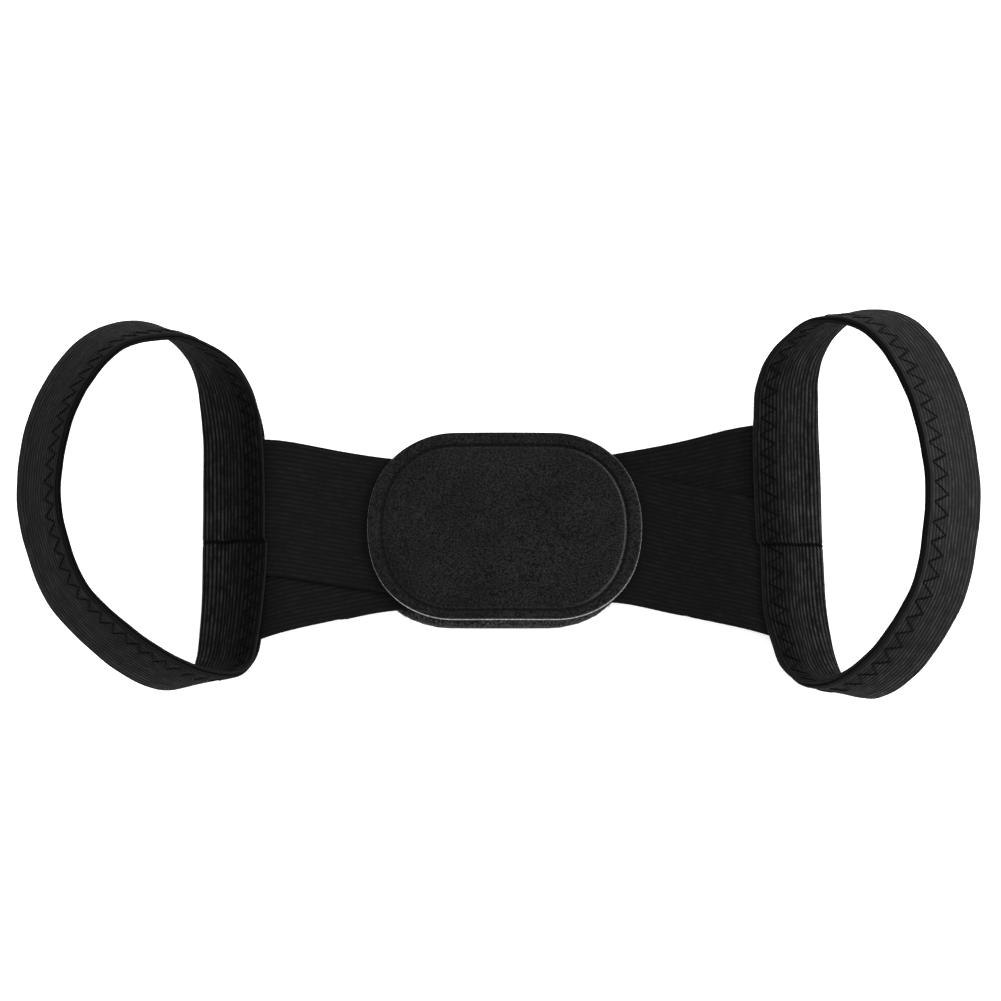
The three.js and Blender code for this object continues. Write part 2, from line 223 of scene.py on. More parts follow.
def evened(rows, spread=0.011):
    """The rows, which run round a closed ring, each averaged with its neighbours."""
    count = len(rows)
    away = np.minimum(np.arange(count), count - np.arange(count)) / count
    weights = np.exp(-0.5 * (away / spread) ** 2)
    weights = np.fft.fft(weights / weights.sum())
    return np.real(np.fft.ifft(np.fft.fft(rows, axis=0) * weights[:, None], axis=0))


def work_out(name):
    """Works out a loop's centre line and its direction across, once, as rows all round the loop."""
    loop = LOOPS[name]
    out, along, rise, lean, swing = np.array(LOOP_ROWS[name], float).T
    inner = LIP_REACH[name] + FOLDED_WIDTH / 2 * math.cos(math.radians(lean[0]))
    rows = np.column_stack([
        inner + out * loop["reach"], loop["middle"] + along * loop["length"] / 2, rise * loop["height"],
    ])
    shares = np.arange(SECTIONS) / SECTIONS
    centre = closed_curve(rows, shares)
    lean, swing = np.radians(closed_curve(np.column_stack([lean, swing]), shares)).T
    across = np.column_stack([-np.cos(lean) * np.cos(swing), np.sin(swing), np.sin(lean) * np.cos(swing)])
    loop["seam_y"] = rows[0, 1]
    loop["centre"], loop["across"] = evened(centre), evened(across)
    run = np.linalg.norm(loop["centre"] - np.roll(loop["centre"], 1, axis=0), axis=1)
    loop["run"] = np.concatenate([[0], np.roll(run, -1).cumsum()])
    frames = loop_frames(name, shares)
    hang = (FOLDED_WIDTH / 2 - FOLD_RADIUS + frames[3]) * frames[1][:, 2]
    loop["centre"][:, 2] -= (frames[0][:, 2] - hang - FOLD_RADIUS).min()


def loop_frames(name, shares):
    """Centre, direction across, direction out of the ring, and seam step, at shares of the loop's run."""
    loop = LOOPS[name]
    at = np.mod(shares, 1) * SECTIONS
    whole = np.floor(at).astype(int)
    t = (at - whole)[:, None]

    def read(rows, ahead=0):
        low, high = (whole + ahead) % SECTIONS, (whole + ahead + 1) % SECTIONS
        return rows[low] * (1 - t) + rows[high] * t

    centre = read(loop["centre"])
    forward = unit(read(loop["centre"], 2) - read(loop["centre"], -2))
    across = read(loop["across"])
    across = unit(across - (across * forward).sum(axis=1)[:, None] * forward)
    outward = unit(np.cross(across, forward))
    below = loop["seam_y"] - centre[:, 1]
    faces_pad = forward[:, 1] > 0
    step = np.where(faces_pad & (below > 0), loop["seam_step"] * (1 - ease(below / SEAM_FADE)), 0)
    return centre, across, outward, step, faces_pad


for name, loop in LOOPS.items():
    work_out(name)
    print(f"{name} loop: {loop['run'][-1]:.0f} mm round")

# %% [markdown]
# ## The crossing bands' shape
# The bands lie flat under the pad, climb towards the loops, and slip between the lips of the folded webbing.
# Their height is worked out as one surface midway between the two bands, so that the upper and the lower
# band follow each other at a constant distance, as two layers of cloth pressed together do.

# %% Sizes of the bands and pads, in millimetres
PAD_LENGTH, PAD_HEIGHT, PAD_STRAIGHT = 117, 83.5, 43
PAD_HALF = PAD_LENGTH / 2
BACK_FLOOR = 4
STACK = 2 * WEBBING_THICK + AIR
BAND_LEVEL = BACK_FLOOR + AIR + STACK / 2
FRONT_BOTTOM = BAND_LEVEL + STACK / 2 + AIR
BAND_WIDTH = 60
BAND_LIFT = (WEBBING_THICK + AIR) / 2
BAND_TUCK = 7.2
PAD_BEND = 0.12
LIP_BEND = 4
BAND_STOPS = (-LIP_REACH["left"], -50, -20, 20, 50, 80, LIP_REACH["right"])
BAND_MIDDLES = {  # the y of the band's middle at these stops
    "upper": (6.9, 0.9, -1.8, -3.8, -3.2, -12.4, -20.0),
    "lower": (-20.8, -6.6, -4.6, -1.4, 3.6, 7.8, 13.9),
}
BAND_RUN = np.linspace(-150, 150, 601)
BAND_EASE = 7


def band_line(middles):
    """The y of a band's middle all along it, with the corners at its stops rounded off."""
    slopes = np.diff(middles) / np.diff(BAND_STOPS)
    line = np.interp(BAND_RUN, BAND_STOPS, middles)
    before = np.minimum(BAND_RUN - BAND_STOPS[0], 0)
    after = np.maximum(BAND_RUN - BAND_STOPS[-1], 0)
    line += before * slopes[0] + after * slopes[-1]
    near = np.abs(BAND_RUN) <= 3 * BAND_EASE
    weights = np.exp(-0.5 * (BAND_RUN[near] / BAND_EASE) ** 2)
    return np.convolve(line, weights / weights.sum(), "same")


BAND_LINES = {band: band_line(middles) for band, middles in BAND_MIDDLES.items()}


def band_edge(band, x, across):
    """The y of a lengthwise line of a band, across running from -0.5 at its lower edge to 0.5."""
    middles = BAND_MIDDLES[band]
    slope = (middles[-1] - middles[0]) / (BAND_STOPS[-1] - BAND_STOPS[0])
    return np.interp(x, BAND_RUN, BAND_LINES[band]) + across * BAND_WIDTH * math.hypot(1, slope)


HELD_SHARES = np.linspace(-2 / 15, 3 / 15, 1200)  # from two rows before the first row to three rows after it
HELD = {name: loop_frames(name, HELD_SHARES)[:2] for name in LOOPS}


def held_line(name, reach, y):
    """Where the loop's line across its width passes over a place: its height, its lip and its fall."""
    centres, acrosses = HELD[name]
    line_y = y
    for _ in range(4):
        middle, tilt = (
            np.stack([np.interp(line_y, centres[:, 1], rows[:, i]) for i in range(3)], axis=-1)
            for rows in (centres, acrosses)
        )
        run = (reach - middle[..., 0]) / tilt[..., 0]
        line_y = y - run * tilt[..., 1]
    lip = middle[..., 0] + FOLDED_WIDTH / 2 * tilt[..., 0]
    return middle[..., 2] + run * tilt[..., 2], lip, -tilt[..., 2] / tilt[..., 0]


def band_height(x, y):
    """Height of the surface midway between the two bands."""
    result = np.full_like(x, BAND_LEVEL)
    reach = np.abs(x)
    begin = PAD_STRAIGHT / 2 + (PAD_HALF - PAD_STRAIGHT / 2) * np.sqrt(
        1 - np.minimum(np.abs(y) / (PAD_HEIGHT / 2), 1) ** 2)
    for name, loop in LOOPS.items():
        height, lip, fall = held_line(name, reach, y)
        run = lip - begin
        t = np.maximum(reach - begin, 0) / run
        climb = height - (lip - reach) * fall - BAND_LEVEL
        risen = t**2 * (1 + PAD_BEND) / (t + PAD_BEND)
        rising = climb * (2 - 1 / (1 + PAD_BEND))
        slope = BAND_LEVEL + climb * risen + (t**LIP_BEND - t**(LIP_BEND + 1)) * (rising + run * fall)
        here = x * loop["side"] > begin
        result = np.where(here, np.where(reach >= lip, height, slope), result)
    return result


def band_end(band, name, across):
    """How far out a lengthwise line of a band meets the lips of a loop."""
    reach = np.full_like(across, LIP_REACH[name])
    for _ in range(4):
        reach = held_line(name, reach, band_edge(band, LOOPS[name]["side"] * reach, across))[1]
    return reach


# %% [markdown]
# ## Webbing
# Ribbed elastic is a flat strip with fine ribs along it and a firm selvage at each edge. It could be a
# picture on a flat strip, but the ribs catch the light at the edges and folds, so they are modelled: a grid
# is added at the webbing's flat size, laid on its path, given its thickness by a Solidify modifier, and its
# two faces are then raised and lowered in ribs. Its UV map keeps the flat webbing's measures in metres, so
# the knit in the material follows every bend.

# %% Helper that makes a strip of webbing
RIB_PITCH = {"band": 2.05, "loop": 1.72}
RIB_RISE = {"band": 0.05, "loop": 0.11}
RIB_FULLNESS = 0.8
SELVAGE, SELVAGE_BLEND, SELVAGE_RISE = 0.8, 0.3, 0.03
EDGE_DROP, EDGE_ROUND = 0.2, 0.5


def rib_relief(v, half_width, use):
    """Height of the ribs over the webbing's face, v millimetres from its middle."""
    from_edge = half_width - np.abs(v)
    ribs = np.cos(2 * np.pi * v / RIB_PITCH[use])
    ribs = np.sign(ribs) * np.abs(ribs) ** RIB_FULLNESS * RIB_RISE[use]
    on_selvage = ease((SELVAGE - from_edge) / SELVAGE_BLEND)
    rounded = -EDGE_DROP * (1 - ease(from_edge / EDGE_ROUND))
    return ribs * (1 - on_selvage) + SELVAGE_RISE * on_selvage + rounded


def lay_webbing(flat_length, flat_width, along_cells, across_cells, surface, relief):
    """A strip of webbing on a surface, which takes u and v in millimetres and gives places and normals."""
    start()
    bpy.ops.mesh.primitive_grid_add(
        x_subdivisions=along_cells, y_subdivisions=across_cells, size=1, location=(0, 0, 0),
    )
    strip = bpy.context.object
    strip.scale = (flat_length * MM, flat_width * MM, 1)
    bpy.ops.object.transform_apply(location=False, rotation=False, scale=True)
    flat = places(strip)
    loops = np.empty(len(strip.data.loops), int)
    strip.data.loops.foreach_get("vertex_index", loops)
    strip.data.uv_layers.active.data.foreach_set("uv", flat[loops, :2].ravel())
    u, v = flat[:, 0] / MM + flat_length / 2, flat[:, 1] / MM
    middle, normal = surface(u, v)
    move_to(strip, to_part(middle))
    solid = strip.modifiers.new("thickness", "SOLIDIFY")
    solid.thickness = WEBBING_THICK * MM
    solid.offset = 0
    apply_all(strip)
    count = len(flat)
    made = places(strip)
    facing = np.sign(((made[:count] - to_part(middle)) * normal).sum(axis=1).mean())
    half = WEBBING_THICK / 2 + relief(u, v)
    for rows, side in ((slice(0, count), facing), (slice(count, 2 * count), -facing)):
        made[rows] = to_part(middle + side * half[:, None] * normal)
    made[:, 2] = np.maximum(made[:, 2], 0)
    move_to(strip, made)
    smooth_faces(strip, degrees=70)
    return strip


PAD_LOW, PAD_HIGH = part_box("pad_front")
PART_MIDDLE = np.array([(PAD_LOW[0] + PAD_HIGH[0]) / 2, (PAD_LOW[1] + PAD_HIGH[1]) / 2, 0])


def to_part(rows):
    """From millimetres about the pad's middle to the part's metres."""
    return rows * MM + PART_MIDDLE


def normals_of(surface, u, v, flip=1):
    """A surface's normals, from how it runs along and across."""
    step = 0.05
    along = surface(u + step, v) - surface(u - step, v)
    across = surface(u, v + step) - surface(u, v - step)
    return flip * unit(np.cross(along, across))


# %% [markdown]
# ## The two crossing bands
# Each band keeps its full 60 mm of width. On the real one both are pulled straight, so their edges run
# straight from the pad to the loops, and only the height changes.

# %% Model the bands
BAND_CELLS_ALONG, BAND_CELLS_ACROSS = 130, 140


def band_surface(band, lift):
    """The band's surface by u along it and v across it, both in millimetres."""
    across_table = np.linspace(-0.5, 0.5, 61)
    ends = {name: band_end(band, name, across_table) + BAND_TUCK for name in LOOPS}
    length = float(ends["left"].mean() + ends["right"].mean())

    def middle(u, v):
        across = v / BAND_WIDTH
        left, right = (np.interp(across, across_table, ends[name]) for name in ("left", "right"))
        x = -left + (left + right) * u / length
        y = band_edge(band, x, across)
        return np.column_stack([x, y, band_height(x, y)])

    def surface(u, v):
        normal = normals_of(middle, u, v)
        return middle(u, v) + lift * normal, normal

    return surface, length


bands = {}
for band, lift in (("upper", BAND_LIFT), ("lower", -BAND_LIFT)):
    surface, length = band_surface(band, lift)
    bands[band] = lay_webbing(
        length, BAND_WIDTH, BAND_CELLS_ALONG, BAND_CELLS_ACROSS, surface,
        lambda u, v: rib_relief(v, BAND_WIDTH / 2, "band"),
    )
    hand_over(bands[band], f"band_{band}", "elastic", f"back_band_{band}")
    length * MM
    print(f"{band} band: {length:.0f} mm of webbing")

# %% [markdown]
# ## The arm loops
# The webbing folds round a small radius, runs flat to its two open edges, and opens there where it holds the
# bands. Folding the flat grid in code keeps its full flat width, which a bevel on a solid bar would not.

# %% Model the arm loops
LOOP_CELLS_ALONG, LOOP_CELLS_ACROSS = 210, 132
OFF_FOLD = {"left": 0.8, "right": 3.2}
OFF_TURN = {"left": 0.0, "right": 0.45}
SEAM_SLANT = {"left": 3.0, "right": 2.4}
SWELL, SWELL_FROM_FOLD, SWELL_WIDE = 0.5, 3.6, 2.6
FOLD_MIDDLE = FOLD_RADIUS - WEBBING_THICK / 2
HALF_FLAT = FOLDED_WIDTH - FOLD_RADIUS + math.pi / 2 * FOLD_MIDDLE
EDGE_WAVES = ((0.16, 7, 0), (0.12, 13, 1), (0.08, 29, 2))  # height, how many round the loop, start
FACE_WAVES = ((0.25, 5, 2), (0.15, 11, 0))


def waves(table, turn):
    """Small unevenness round a loop, as a sum of waves."""
    return sum(height * np.sin(count * turn + start) for height, count, start in table)


def held_low_high(name):
    """The y range in which a loop holds the bands' ends."""
    x = LOOPS[name]["side"] * LIP_REACH[name]
    edges = [float(band_edge(band, np.array(x, float), across)) for band in bands for across in (-0.5, 0.5)]
    return min(edges), max(edges)


def loop_surface(name):
    """The folded webbing's surface by u along it and v from its fold, both in millimetres."""
    loop = LOOPS[name]
    low, high = held_low_high(name)
    stops = np.linspace(0, 1, len(loop["run"]))
    shoulder = FOLDED_WIDTH / 2 - SLOT_DEPTH - SLOT_SHOULDER

    def middle(u, v):
        shares = np.clip(np.interp(u, loop["run"], stops), 1e-7, 1 - 1e-7)
        step = loop_frames(name, shares)[3]
        slanted = shares - SEAM_SLANT[name] * (np.abs(v) / HALF_FLAT - 0.5) / loop["run"][-1]
        centre, across, outward, _, faces_pad = loop_frames(name, slanted)
        past = np.maximum(0, np.maximum(low - centre[:, 1], centre[:, 1] - high))
        opened = np.where(faces_pad, 1 - ease((past - SLOT_REACH) / SLOT_FADE), 0)
        turn = 2 * math.pi * shares
        v = v - OFF_FOLD[name] * (0.5 + 0.5 * np.cos(turn - OFF_TURN[name])) ** 2
        angle = np.clip(np.abs(v) / FOLD_MIDDLE, 0, math.pi / 2)
        flat = np.maximum(0, np.abs(v) - math.pi / 2 * FOLD_MIDDLE)
        a = FOLD_RADIUS - FOLDED_WIDTH / 2 - FOLD_MIDDLE * np.cos(angle) + flat
        lift = opened * (OPEN_SLOT - AIR) / 2 * np.clip((a - shoulder + SLOT_TAPER) / SLOT_TAPER, 0, 1)
        swell = SWELL * np.exp(-(((flat - SWELL_FROM_FOLD) / SWELL_WIDE) ** 2)) * np.sin(angle) ** 2
        swell = swell * np.where(v > 0, 0.5 - 0.5 * np.cos(turn), 1)
        n = np.sign(v) * (FOLD_MIDDLE * np.sin(angle) + lift + swell)
        free = 1 - opened
        a = a + free * waves(EDGE_WAVES, turn)
        n = n + free * waves(FACE_WAVES, turn)
        points = centre + (a - step * (a / FOLDED_WIDTH + 0.5))[:, None] * across + n[:, None] * outward
        points[:, 0] *= loop["side"]
        return points

    def surface(u, v):
        return middle(u, v), normals_of(middle, u, v, -loop["side"])

    return surface


SEAM_GROOVE, SEAM_GROOVE_WIDE = 0.32, 1.4


def loop_relief(length):
    """Ribs, and a groove where the two ends of the webbing meet."""

    def relief(u, v):
        from_seam = np.minimum(u, length - u)
        return rib_relief(v, HALF_FLAT, "loop") - SEAM_GROOVE * (1 - ease(from_seam / SEAM_GROOVE_WIDE))

    return relief


arm_loops = {}
for name, loop in LOOPS.items():
    length = loop["run"][-1]
    arm_loops[name] = lay_webbing(
        length, 2 * HALF_FLAT, LOOP_CELLS_ALONG, LOOP_CELLS_ACROSS, loop_surface(name), loop_relief(length),
    )
    hand_over(arm_loops[name], f"loop_{name}", "elastic", f"arm_loop_{name}")

# %% [markdown]
# A finished piece has to lie where its CAD solid is. Measuring how far its points are from the CAD node's
# surface shows that at once.

# %% Measure the webbing against the CAD nodes
MEASURE_EVERY = 37


def distance_from(piece, node):
    """The usual and the largest distance in millimetres from a piece's points to a CAD node's surface."""
    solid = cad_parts[node]
    tree = BVHTree.FromPolygons(places(solid).tolist(), [list(face.vertices) for face in solid.data.polygons])
    found = [tree.find_nearest(Vector(p))[3] / MM for p in places(piece)[::MEASURE_EVERY]]
    return float(np.median(found)), max(found)


for piece, node in ((bands["upper"], "back_band_upper"), (bands["lower"], "back_band_lower"),
                    (arm_loops["left"], "arm_loop_left"), (arm_loops["right"], "arm_loop_right")):
    usual, most = distance_from(piece, node)
    print(f"{piece.name}: {usual:.2f} mm from the CAD surface, {most:.2f} mm at most")

# %% [markdown]
# ## Thread
# A zigzag of black thread runs all round each loop, a few millimetres from its open edges, and shows on both
# faces. One leg of it is modelled: a slim spindle, thickest in its middle, because a sewn thread dips into
# the cloth at both ends. Hundreds of legs are then stamped into one mesh, which is quicker to handle than
# hundreds of objects.

# %% Model one leg of thread and stamp it
THREAD_THICK, THREAD_SUNK = 0.88, 0.54
THREAD_FULLNESS, THREAD_OVERLAP = 0.45, 1.06


def thread_leg():
    """A slim spindle one unit long on x, as a mesh's corners and faces."""
    start()
    bpy.ops.mesh.primitive_uv_sphere_add(segments=8, ring_count=8, radius=0.5, rotation=(0, math.pi / 2, 0))
    leg = bpy.context.object
    bpy.ops.object.transform_apply(location=False, rotation=True, scale=False)
    corners = places(leg)
    faces = [list(face.vertices) for face in leg.data.polygons]
    bpy.data.objects.remove(leg)
    spread = np.sin(np.pi * np.clip(corners[:, 0] + 0.5, 0, 1)) ** THREAD_FULLNESS
    ring = np.hypot(corners[:, 1], corners[:, 2])
    scale = np.where(ring > 1e-6, 0.5 * spread / np.maximum(ring, 1e-6), 0)
    corners[:, 1:] *= scale[:, None]
    return corners, faces


LEG_CORNERS, LEG_FACES = thread_leg()


def mesh_piece(name, corners, faces):
    """A new piece from corners in millimetres, none of them below the table, and faces."""
    corners = to_part(corners.reshape(-1, 3))
    corners[:, 2] = np.maximum(corners[:, 2], 0)
    mesh = bpy.data.meshes.new(name)
    mesh.from_pydata(corners.tolist(), [], faces)
    made = bpy.data.objects.new(name, mesh)
    bpy.context.collection.objects.link(made)
    smooth_faces(made)
    return made


def stamp_threads(name, starts, ends, normals, thick, arch=0.1):
    """One mesh with a leg of thread from each start to each end, arched a little off the cloth."""
    thick = np.reshape(thick, (-1, 1, 1))
    along = ends - starts
    length = np.linalg.norm(along, axis=1)
    forward = along / length[:, None]
    side = unit(np.cross(normals, forward))
    up = np.cross(forward, side)
    middle = (starts + ends) / 2
    x, y, z = (LEG_CORNERS[None, :, i, None] for i in range(3))
    corners = (
        middle[:, None] + x * (THREAD_OVERLAP * length[:, None] * forward)[:, None]
        + y * thick * side[:, None] + z * thick * up[:, None] + (1 - 4 * x**2) * arch * up[:, None]
    )
    count = len(LEG_CORNERS)
    faces = [[i * count + c for c in face] for i in range(len(starts)) for face in LEG_FACES]
    return mesh_piece(name, corners, faces)


# %% Sew the zigzag round each loop
ZIGZAG = {  # nearest and furthest from the open edge, and the length of one tooth
    "right": {"near": 3.0, "far": 10.4, "tooth": 8.2},
    "left": {"near": 2.4, "far": 8.4, "tooth": 7.0},
}
ZIGZAG_START, ZIGZAG_TREMBLE = 0.3, 0.9


def zigzag_legs(name):
    """How many legs of zigzag go round a loop, an even number so that the line closes."""
    return 2 * round(LOOPS[name]["run"][-1] / ZIGZAG[name]["tooth"])


def zigzag_rows(name):
    """Starts, ends and normals of the zigzag's legs on both faces of a loop."""
    sewn, legs = ZIGZAG[name], zigzag_legs(name)
    u = np.linspace(ZIGZAG_START, LOOPS[name]["run"][-1] - ZIGZAG_START, legs + 1)
    tremble = np.array([noise.noise((i * 0.77, 5.1 * len(name), 0)) for i in range(legs + 1)])
    from_edge = np.where(np.arange(legs + 1) % 2, sewn["far"], sewn["near"]) + ZIGZAG_TREMBLE * tremble
    surface = loop_surface(name)
    sides = []
    for face in (1, -1):
        v = face * (HALF_FLAT - from_edge)
        middle, normal = surface(u, v)
        top = middle + (WEBBING_THICK / 2 + RIB_RISE["loop"] * 0.6) * normal
        sides.append((top[:-1], top[1:], unit(normal[:-1] + normal[1:])))
    return [np.concatenate(rows) for rows in zip(*sides)]


zigzags = {}
for name in LOOPS:
    rows = zigzag_rows(name)
    sunk = np.arange(len(rows[0])) % 2 == (name == "left")
    thick = np.where(sunk, THREAD_SUNK, THREAD_THICK)
    zigzags[name] = stamp_threads(f"zigzag_{name}", *rows, thick=thick)
    hand_over(zigzags[name], f"zigzag_{name}", "elastic")

# %% [markdown]
# The ring is closed by a short seam across the webbing, sewn with a fine zigzag over the two butted ends.

# %% Sew the seams that close the rings
SEAM_TOOTH, SEAM_REACH, SEAM_MARGIN = 1.9, 0.95, 1.5
SEAM_THREAD, SEAM_SUNK = 0.3, 0.05


def seam_rows(name):
    """Starts, ends and normals of the fine zigzag across the seam, on both faces."""
    surface = loop_surface(name)
    length = LOOPS[name]["run"][-1]
    count = 2 * int((2 * HALF_FLAT - 2 * SEAM_MARGIN) / SEAM_TOOTH)
    v = np.linspace(-HALF_FLAT + SEAM_MARGIN, HALF_FLAT - SEAM_MARGIN, count + 1)
    odd = np.arange(count + 1) % 2 == 1
    u = np.where(odd, SEAM_REACH, length - SEAM_REACH)
    middle, normal = surface(u, v)
    top = middle + (WEBBING_THICK / 2 - SEAM_SUNK) * normal
    return top[:-1], top[1:], unit(normal[:-1] + normal[1:])


seams = {}
for name in LOOPS:
    seams[name] = stamp_threads(f"seam_{name}", *seam_rows(name), thick=SEAM_THREAD, arch=0.05)
    hand_over(seams[name], f"seam_{name}", "elastic")

# %% [markdown]
# ## The front pad
# The front of the pad is an oval of brushed cloth over thin foam. A line of stitches a few millimetres
# inside its edge pulls it down all round, which leaves a flat rim outside and a soft raised panel inside. An
# oval is a circle that is stretched and parted in the middle. It is then extruded for its thickness, its
# edges bevelled, and its top inset ring by ring.

# %% Helpers that make an oval sheet and bow it
OVAL_CORNERS = 72
STRAIGHT_CUTS = 13
RIM_WIDTH = 6
BOW, BOW_REACH, PAD_DRIFT = 0.012, 44, 0.8
FULL_LOW, FULL_HIGH = 0.03, 0.018
PANEL_DROP, DROP_REACH = 1.9, 34


def oval_depth(x, y):
    """How far inside the pad's outline a place is, in millimetres."""
    over = np.maximum(np.abs(x) - PAD_STRAIGHT / 2, 0)
    radius_x, radius_y = (PAD_LENGTH - PAD_STRAIGHT) / 2, PAD_HEIGHT / 2
    share = np.hypot(over / radius_x, y / radius_y)
    angle = np.arctan2(np.abs(y) / radius_y, over / radius_x)
    return (1 - share) * np.hypot(radius_x * np.cos(angle), radius_y * np.sin(angle))


def bowed(rows):
    """Places on the pad in millimetres, with bowed edges, full corners and a panel that sits a little low."""
    rows = np.array(rows)
    drop = PANEL_DROP * ease(-rows[:, 1] / DROP_REACH) * ease(oval_depth(rows[:, 0], rows[:, 1]) / RIM_WIDTH)
    x, y = rows[:, 0] / PAD_HALF, rows[:, 1] / (PAD_HEIGHT / 2)
    out = x**2 + y**2
    corner = (2 * x * y / np.maximum(out, 1e-9)) ** 2 * np.minimum(out, 1)
    rows[:, :2] *= (1 + np.where(y < 0, FULL_LOW, FULL_HIGH) * corner)[:, None]
    rows[:, 1] *= 1 + BOW * np.cos(np.pi * np.clip(rows[:, 0] / BOW_REACH, -1, 1))
    rows[:, 0] += PAD_DRIFT
    rows[:, 1] -= drop
    return rows


def oval_sheet(length, height, z):
    """A flat oval with straight top and bottom edges, at height z, all in millimetres."""
    start()
    bpy.ops.mesh.primitive_circle_add(
        vertices=OVAL_CORNERS, radius=1, fill_type="NGON", location=(0, 0, z * MM),
        rotation=(0, 0, math.pi / OVAL_CORNERS),
    )
    sheet = bpy.context.object
    bpy.ops.object.transform_apply(location=True, rotation=True, scale=True)
    bpy.ops.object.mode_set(mode="EDIT")
    bpy.ops.mesh.select_all(action="SELECT")
    bpy.ops.transform.resize(
        value=((length - PAD_STRAIGHT) / 2 * MM, height / 2 * MM, 1), center_override=(0, 0, z * MM),
    )
    for side in (1, -1):
        pick(sheet, lambda corner: corner.co.x * side > 0)
        bpy.ops.transform.translate(value=(side * PAD_STRAIGHT / 2 * MM, 0, 0))
    for side in (1, -1):
        pick(
            sheet, lambda edge: edge.calc_length() > PAD_STRAIGHT / 2 * MM and edge.verts[0].co.y * side > 0,
            "edges",
        )
        bpy.ops.mesh.subdivide(number_cuts=STRAIGHT_CUTS)
    return sheet


def is_lid(face):
    """Whether a face is a whole oval that faces up."""
    return len(face.verts) > OVAL_CORNERS and face.normal.z > 0.9


def inset_top(piece, rings):
    """Insets the topmost face ring by ring, each so far in and so far up, in millimetres."""
    for inward, up in rings:
        lids = filter(is_lid, bmesh.from_edit_mesh(piece.data).faces)
        top = max(face.calc_center_median().z for face in lids)
        pick(piece, lambda face: is_lid(face) and face.calc_center_median().z > top - 1e-6, "faces")
        bpy.ops.mesh.inset(thickness=inward * MM, depth=up * MM)


def draw_in_selected(rings):
    """Adds evenly spaced rings to the face that is selected, each drawn in towards its middle."""
    for ring in range(rings, 0, -1):
        share = ring / (ring + 1)
        bpy.ops.mesh.extrude_region_move(TRANSFORM_OT_translate={"value": (0, 0, 0)})
        bpy.ops.transform.resize(value=(share, share, 1), center_override=(0, 0, 0))


# %% [markdown]
# The rings of the rim and the crown are inset, so each keeps its distance from the edge. Further in they
# would cross one another, because an inset can't go deeper than the radius of the oval's tightest curve. The
# middle is drawn in towards its centre instead, where rings never cross.

# %% Model the front pad
RIM_THICK, RIM_ROUND = 2.2, 0.6
GROOVE = 0.85
CROWN_RINGS = [(0.9, 0.75), (1.4, 0.85), (2.2, 0.55), (3.2, 0.3)]
PANEL_RINGS = 7

pad_front = oval_sheet(PAD_LENGTH, PAD_HEIGHT, FRONT_BOTTOM)
pick(pad_front, lambda face: True, "faces")
bpy.ops.mesh.extrude_region_move(TRANSFORM_OT_translate={"value": (0, 0, RIM_THICK * MM)})
bpy.ops.mesh.select_all(action="SELECT")
bpy.ops.mesh.normals_make_consistent(inside=False)
pick(pad_front, lambda edge: abs(edge.verts[0].co.z - edge.verts[1].co.z) < 1e-6, "edges")
bpy.ops.mesh.bevel(offset=RIM_ROUND * MM, segments=3, profile=0.6)
inset_top(pad_front, [
    (0.25, 0.0), (RIM_WIDTH - RIM_ROUND - 1.15, 0.0), (0.35, -0.12), (0.45, -GROOVE + 0.12), (0.4, 0.05),
    *CROWN_RINGS,
])
draw_in_selected(PANEL_RINGS)
bpy.ops.mesh.poke()
bpy.ops.object.mode_set(mode="OBJECT")
print("front pad before it is puffed:", len(pad_front.data.vertices), "corners")

# %% [markdown]
# The foam under the cover pushes it up between the stitches. A short cloth simulation with a little pressure
# finds that shape, with the rim and the stitch line pinned. How far a corner may move is capped, so that the
# panel stays inside the room that the CAD solid holds.

# %% Puff the panel
PUFF_CAP = 0.5
GROOVE_REACH = RIM_WIDTH + 0.5


def note_on(piece, name, values):
    """Keeps a value for each of the piece's corners, which its material can read by name."""
    piece.data.attributes.new(name, "FLOAT", "POINT").data.foreach_set("value", np.asarray(values, float))


def puff(piece, pinned, pressure, cap, frames=20):
    """Swells a piece by cloth simulation. Pinned corners stay, and no other moves further than the cap."""
    before = places(piece)
    group = piece.vertex_groups.new(name="pinned")
    group.add([int(i) for i in np.flatnonzero(pinned)], 1, "REPLACE")
    cloth = piece.modifiers.new("puff", "CLOTH")
    cloth.settings.use_pressure = True
    cloth.settings.uniform_pressure_force = pressure
    cloth.settings.vertex_group_mass = "pinned"
    cloth.settings.effector_weights.gravity = 0
    cloth.settings.tension_stiffness = 30
    cloth.settings.compression_stiffness = 30
    cloth.settings.bending_stiffness = 0.6
    cloth.settings.quality = 6
    for frame_number in range(1, frames + 1):
        bpy.context.scene.frame_set(frame_number)
    apply_all(piece)
    bpy.context.scene.frame_set(1)
    moved = places(piece) - before
    length = np.linalg.norm(moved, axis=1)
    held = cap * MM * np.tanh(length / (cap * MM)) / np.maximum(length, 1e-12)
    move_to(piece, before + moved * held[:, None])
    piece.vertex_groups.clear()
    return length.max() / MM


rows = places(pad_front) / MM
below = rows[:, 2] < FRONT_BOTTOM + RIM_THICK - 1
outside = oval_depth(rows[:, 0], rows[:, 1]) < GROOVE_REACH
wanted = puff(pad_front, outside | below, 3, PUFF_CAP)
print(f"the panel would have moved {wanted:.1f} mm, and is held to {PUFF_CAP}")

# %% [markdown]
# Subdividing the mesh rounds the crown, and shallow dents keep the foam from looking machined. Two notes on
# the corners tell the material where to paint shade in the groove that the cover is sewn into, and where to
# paint a highlight: on the crown's crest and along the rim's edge, both towards the right, where light falls.

# %% Soften the panel and note its painted highlight and groove shade
DENT_HEIGHT, DENT_SCALE = 0.22, 0.06
# The painted highlight on the crown's crest and along the rim's edge: where it lies, how wide and how strong.
CREST_INSIDE, CREST_WIDE, CREST_FAINT, CREST_STARTS = 1, 0.4, 0.12, 24
BORDER_WIDE, BORDER_STRONG, BORDER_STARTS = 0.55, 0.9, 20


def bell(distance, width):
    """1 where the distance is 0, fading smoothly to nothing."""
    return np.exp(-((distance / width) ** 2))


